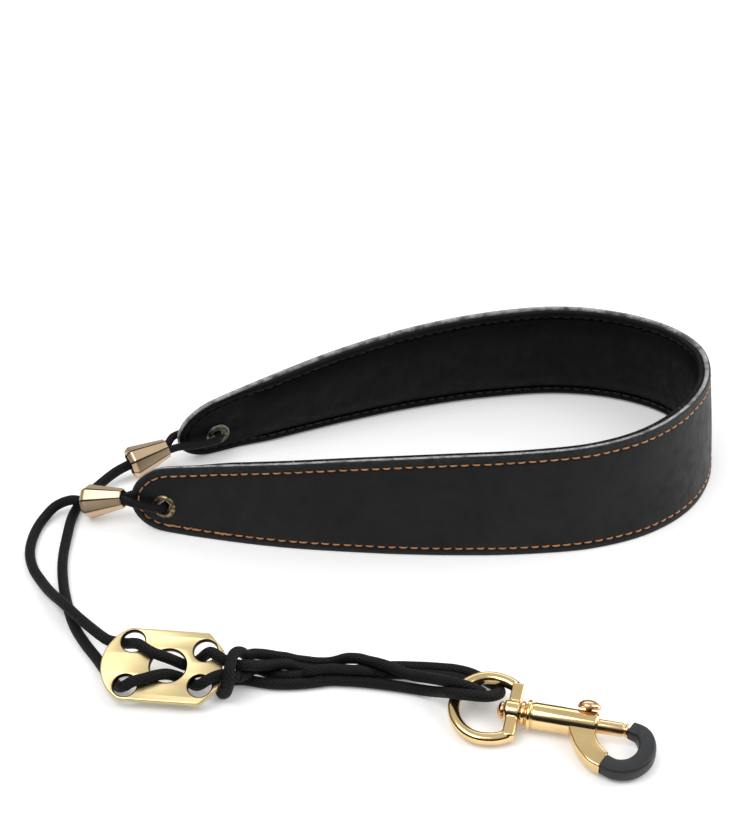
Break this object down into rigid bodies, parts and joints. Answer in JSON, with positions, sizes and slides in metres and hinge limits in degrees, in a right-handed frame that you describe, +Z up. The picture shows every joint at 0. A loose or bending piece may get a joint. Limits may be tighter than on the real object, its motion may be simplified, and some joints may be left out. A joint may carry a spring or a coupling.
{
  "type": "saxophone neck strap",
  "caption": "Saxophone neck strap: padded leather neck band standing on edge, braided cord with bell caps, sliding adjuster plate, and a swivel bolt snap.",
  "frame": {"origin": "on the standing surface, under the middle of the strap measured without its cords", "axes": "+Z up off the surface the strap lies on, +X along the neck band from its ends to its bend, +Y from the hook towards the neck band"},
  "size_m": [0.2783, 0.247, 0.0455],
  "materials": {
    "leather": "smooth semi-matte charcoal-black grain with raw grey cut edge",
    "foam": "dense foam filling",
    "lining": "soft black lining leather, matte",
    "thread": "orange waxed thread",
    "antique_brass": "antique brass",
    "washer_metal": "dull nickel",
    "champagne_metal": "polished champagne gold plate",
    "cord": "fine black braid",
    "plate_metal": "polished pale gold plate",
    "hook_metal": "polished gold plate",
    "copper_metal": "polished coppery gold",
    "spring_steel": "drawn steel wire",
    "rubber": "semi-matte black rubber coating"
  },
  "bodies": {
    "neck_band": {"outer_leather": "leather", "foam_pad": "foam", "lining": "lining", "edge_stitching": "thread", "eyelet_front": "antique_brass", "washer_front": "washer_metal", "eyelet_back": "antique_brass", "washer_back": "washer_metal", "lead_front_upper": "cord", "lead_front_lower": "cord", "lead_back_upper": "cord", "lead_back_lower": "cord"},
    "front_cap": {"bell_cap_front": "champagne_metal", "cord_knot_front": "cord", "eyelet_loop_front": "cord"},
    "back_cap": {"bell_cap_back": "champagne_metal", "cord_knot_back": "cord", "eyelet_loop_back": "cord"},
    "adjuster": {"adjuster_plate": "plate_metal", "thread_front": "cord", "thread_back": "cord", "hitch": "cord", "run_far_top": "cord", "run_far_low": "cord", "run_near_top": "cord", "run_near_low": "cord"},
    "cord_end": {"eye_turn_far": "cord", "eye_turn_near": "cord"},
    "eye": {"d_eye": "hook_metal"},
    "hook": {"swivel_stud": "copper_metal", "hook_body": "hook_metal", "rubber_sleeve": "rubber", "plunger_spring": "spring_steel"},
    "thumb": {"plunger": "hook_metal", "thumb_knob": "copper_metal"}
  },
  "joints": [
    {"name": "front_cap_swing", "type": "hinge", "parent": "neck_band", "child": "front_cap", "pos_m": [-0.09527, 0.01821, 0.0114], "axis": [0.2991, 0.943, -0.1458], "range_deg": [-15, 35], "deforming": ["lead_front_upper"]},
    {"name": "back_cap_swing", "type": "hinge", "parent": "neck_band", "child": "back_cap", "pos_m": [-0.07951, 0.0736, 0.0114], "axis": [-0.427, 0.8921, 0.1478], "range_deg": [-15, 35], "deforming": ["lead_back_upper"]},
    {"name": "adjuster_slide", "type": "slide", "parent": "neck_band", "child": "adjuster", "axis": [0.9957, -0.093, 0], "range_m": [-0.02, 0.05], "deforming": ["lead_front_lower", "lead_back_lower"]},
    {"name": "cord_end_slide", "type": "slide", "parent": "adjuster", "child": "cord_end", "axis": [0.9957, -0.093, 0], "range_m": [-0.0255, 0.0105], "deforming": ["run_far_top", "run_far_low", "run_near_top", "run_near_low"]},
    {"name": "eye_swing", "type": "hinge", "parent": "cord_end", "child": "eye", "pos_m": [0.0184, -0.0832, 0.007], "axis": [-0.6662, -0.7212, -0.19], "range_deg": [0, 120], "deforming": ["eye_turn_far", "eye_turn_near"]},
    {"name": "hook_swivel", "type": "hinge", "parent": "eye", "child": "hook", "pos_m": [0.0375, -0.09455, 0.0056], "axis": [0.9711, -0.2385, 0], "continuous": true},
    {"name": "thumb_slide", "type": "slide", "parent": "hook", "child": "thumb", "axis": [0.9711, -0.2385, 0], "range_m": [-0.0075, 0], "stiffness_N_per_m": 400, "springref_m": 0.002, "deforming": ["plunger_spring"]}
  ],
  "couplings": [
    {"joint": "cord_end_slide", "follows": "adjuster_slide", "ratio": -0.5}
  ]
}
